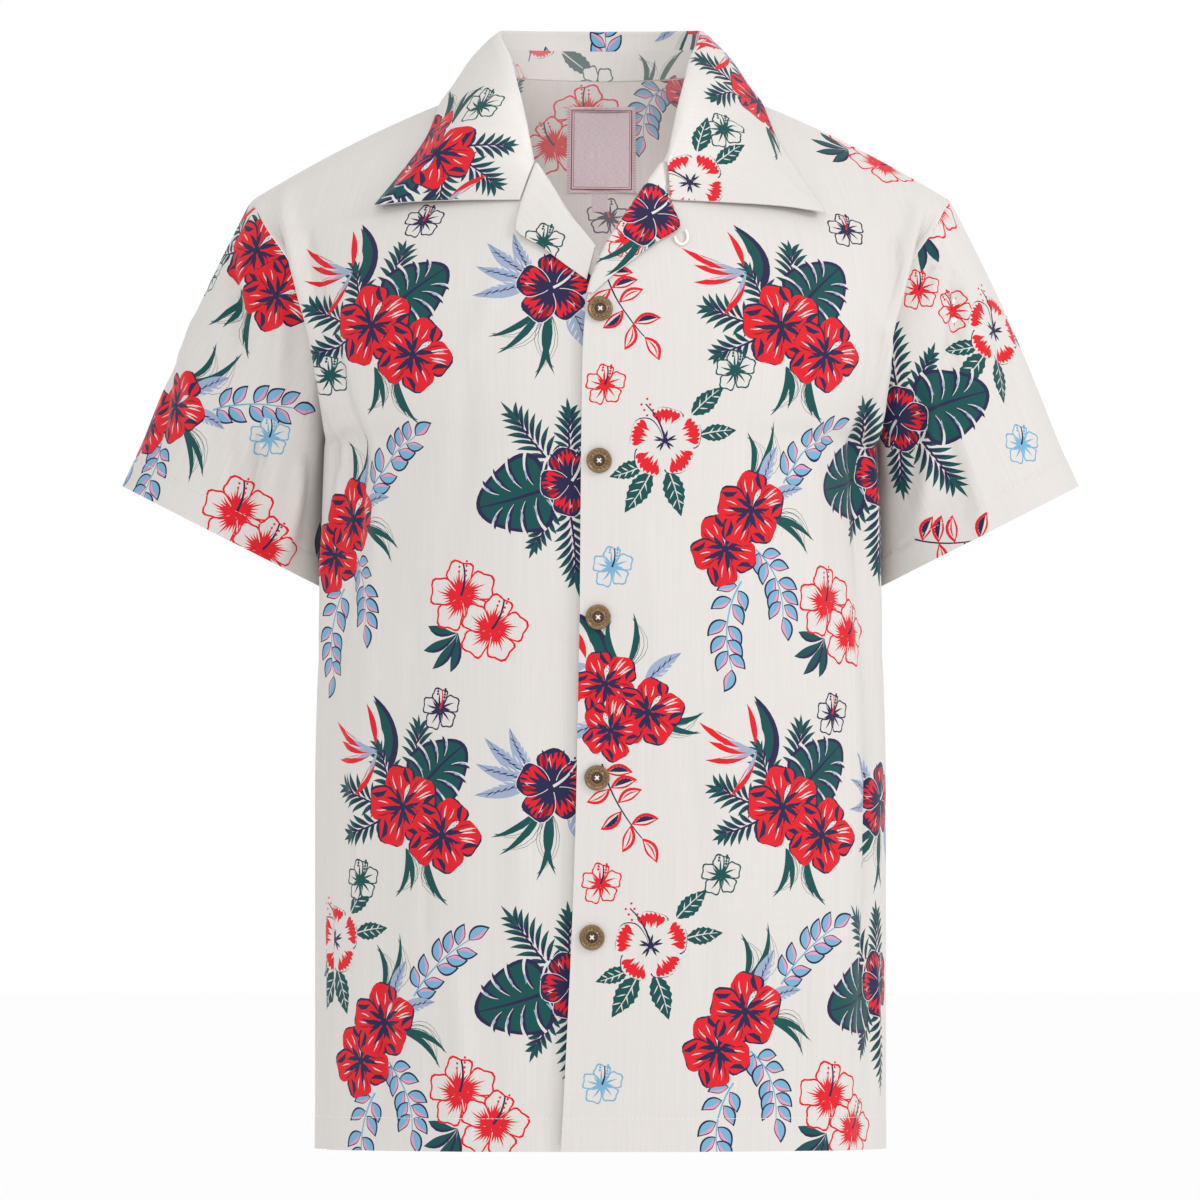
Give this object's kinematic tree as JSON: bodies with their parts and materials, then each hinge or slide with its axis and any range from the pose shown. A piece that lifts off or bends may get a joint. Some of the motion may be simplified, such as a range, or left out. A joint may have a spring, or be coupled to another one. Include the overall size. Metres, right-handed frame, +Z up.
{
  "type": "short-sleeved shirt with an open notched collar, worn form",
  "caption": "Short-sleeved button-front shirt with an open notched collar, straight hem and all-over flower print, filled out as if worn.",
  "frame": {"origin": "midway between the shoulders, in the neck hollow at the height of the collar's foot", "axes": "+Z up, -Y out of the front, +X towards the wearer's left"},
  "size_m": [0.672, 0.294, 0.7869],
  "materials": {
    "printed_cloth": "light plain-weave cloth, off-white ground with a red, navy, teal and sky-blue flower print",
    "woven_label": "fine woven ribbon, pinkish grey with a crimson border line",
    "aged_brass": "antique brass, darker in the relief"
  },
  "bodies": {
    "root": {"front_right": "printed_cloth", "front_left": "printed_cloth", "back": "printed_cloth", "sleeve_right": "printed_cloth", "sleeve_left": "printed_cloth", "collar_stand": "printed_cloth", "collar_leaf": "printed_cloth", "lapel_right": "printed_cloth", "lapel_left": "printed_cloth", "button_loop": "printed_cloth", "neck_label": "woven_label", "size_tab": "woven_label", "button_1": "aged_brass", "button_2": "aged_brass", "button_3": "aged_brass", "button_4": "aged_brass", "button_5": "aged_brass"}
  },
  "joints": []
}
